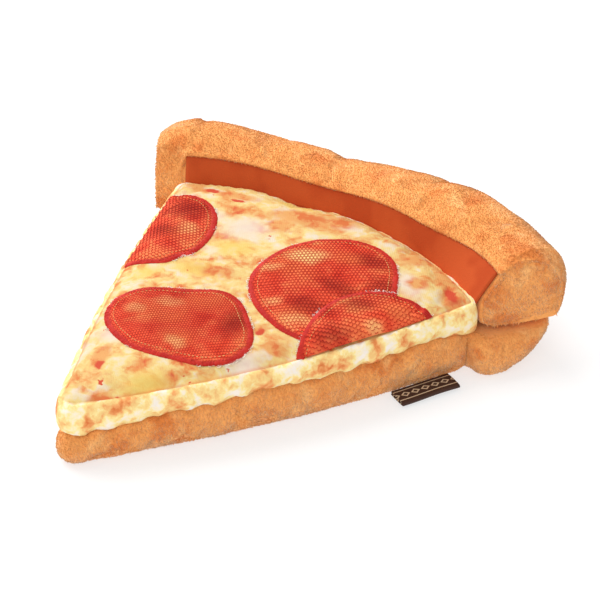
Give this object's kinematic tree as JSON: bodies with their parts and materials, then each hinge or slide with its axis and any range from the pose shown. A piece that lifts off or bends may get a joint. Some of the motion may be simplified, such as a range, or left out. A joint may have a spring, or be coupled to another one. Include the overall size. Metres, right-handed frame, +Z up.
{
  "type": "plush pizza slice toy",
  "caption": "Stuffed plush toy shaped as a pizza slice, with a printed cheese top, appliqued pepperoni, a thick rolled crust and a side label.",
  "frame": {"origin": "middle of the toy's footprint, on the surface it lies on", "axes": "+Y from the tip of the slice towards the crust, +Z up through the printed top"},
  "size_m": [0.2059, 0.2096, 0.054],
  "materials": {
    "plush": "short-pile tan-orange plush",
    "cheese_print": "smooth knit printed in cream, yellow and orange",
    "sauce_velour": "smooth rust-coloured velour",
    "pepperoni_mesh": "printed red cloth under a fine net",
    "stitch_red": "glossy red satin stitch",
    "label_tape": "dark brown woven tape"
  },
  "bodies": {
    "root": {"plush_base": "plush", "cheese_layer": "cheese_print", "crust_roll": "plush", "crust_end_left": "plush", "crust_end_right": "plush", "sauce_band": "sauce_velour", "pepperoni_1": "pepperoni_mesh", "pepperoni_2": "pepperoni_mesh", "pepperoni_3": "pepperoni_mesh", "pepperoni_4": "pepperoni_mesh", "pepperoni_rim_1": "stitch_red", "pepperoni_rim_2": "stitch_red", "pepperoni_rim_3": "stitch_red", "pepperoni_rim_4": "stitch_red", "side_label": "label_tape"}
  },
  "joints": []
}
